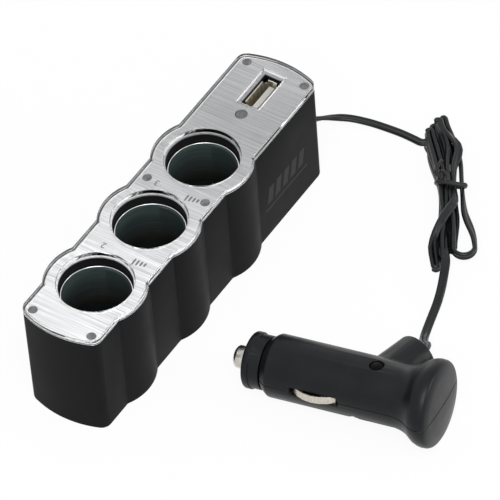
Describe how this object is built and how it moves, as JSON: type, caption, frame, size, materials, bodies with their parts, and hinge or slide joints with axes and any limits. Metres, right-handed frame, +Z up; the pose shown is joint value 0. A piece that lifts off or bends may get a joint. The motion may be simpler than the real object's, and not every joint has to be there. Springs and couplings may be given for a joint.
{
  "type": "car power socket splitter",
  "caption": "Scalloped bar of car power sockets with a clear cover, a charging port, and a flat lead folded in a hank that ends in a fused accessory plug",
  "frame": {"origin": "under the middle of the housing, on the surface it stands on", "axes": "+X along the housing toward the charging port, +Z up, out of the sockets"},
  "size_m": [0.1738, 0.1273, 0.0423],
  "materials": {
    "housing_black": "fine satin moulded plastic",
    "clear_plastic": "clear polished acrylic",
    "brushed_plate": "brushed across the housing",
    "liner_steel": "nickel plated sheet with a bright rim",
    "contact_brass": "bare stamped brass",
    "board_green": "solder resist",
    "port_nickel": "bright nickel plated sheet",
    "port_ivory": "moulded insulator",
    "parts_dark": "moulded components",
    "light_lens": "clouded lens, unlit",
    "rubber_black": "soft black rubber",
    "lead_black": "satin flat twin lead",
    "wire_red": "insulated inner wires",
    "tie_black": "plastic coated wire",
    "plug_black": "fine satin moulded plastic",
    "screw_steel": "zinc plated",
    "spring_steel": "nickel plated spring sheet",
    "fuse_glass": "clear glass",
    "tip_nickel": "bright nickel",
    "washer_brown": "pressed fibre"
  },
  "bodies": {
    "splitter": {"housing_shell": "housing_black", "base_cover": "housing_black", "base_screws": "screw_steel", "label_plate": "brushed_plate", "clear_cover": "clear_plastic", "socket_liner_1": "liner_steel", "socket_liner_2": "liner_steel", "socket_liner_3": "liner_steel", "socket_cup_1": "parts_dark", "socket_cup_2": "parts_dark", "socket_cup_3": "parts_dark", "centre_contacts": "contact_brass", "positive_bus": "contact_brass", "ground_bus": "contact_brass", "converter_board": "board_green", "board_screws": "screw_steel", "port_shell": "port_nickel", "port_tongue": "port_ivory", "port_contacts": "contact_brass", "converter_parts": "parts_dark", "power_light": "light_lens", "cord_grommet": "rubber_black", "inner_leads": "wire_red", "cord_to_hank": "lead_black", "cord_hank": "lead_black", "cord_to_plug": "lead_black", "twist_tie": "tie_black", "plug_upper_shell": "plug_black", "plug_lower_shell": "plug_black", "plug_screw": "screw_steel", "plug_light": "light_lens", "rear_contact": "contact_brass", "plug_leads": "wire_red", "tip_spring": "spring_steel"},
    "tip": {"contact_tip": "tip_nickel", "glass_fuse": "fuse_glass", "fuse_caps": "tip_nickel"},
    "near_contact": {"side_contact_near": "spring_steel"},
    "far_contact": {"side_contact_far": "spring_steel"},
    "cap_carrier": {"cap_washer": "washer_brown"},
    "cap": {"nose_cap": "plug_black"}
  },
  "joints": [
    {"name": "tip_press", "type": "slide", "parent": "splitter", "child": "tip", "axis": [0.1526, -0.9854, 0.0752], "range_m": [0, 0.0022], "stiffness_N_per_m": 600, "springref_m": -0.001, "deforming": ["tip_spring"]},
    {"name": "near_contact_press", "type": "hinge", "parent": "splitter", "child": "near_contact", "pos_m": [-0.02661, -0.07696, 0.01328], "axis": [-0.1176, -0.0936, -0.9886], "range_deg": [0, 9], "stiffness_Nm_per_rad": 0.1},
    {"name": "far_contact_press", "type": "hinge", "parent": "splitter", "child": "far_contact", "pos_m": [-0.01013, -0.07457, 0.01109], "axis": [0.1176, 0.0936, 0.9886], "range_deg": [0, 9], "stiffness_Nm_per_rad": 0.1},
    {"name": "cap_advance", "type": "slide", "parent": "splitter", "child": "cap_carrier", "axis": [-0.1526, 0.9854, -0.0752], "range_m": [0, 0.003]},
    {"name": "cap_turn", "type": "hinge", "parent": "cap_carrier", "child": "cap", "pos_m": [-0.02334, -0.04369, 0.00974], "axis": [-0.1526, 0.9854, -0.0752], "range_deg": [0, 1080]}
  ],
  "couplings": [
    {"joint": "cap_turn", "follows": "cap_advance", "rad_per_m": 6282.6}
  ]
}
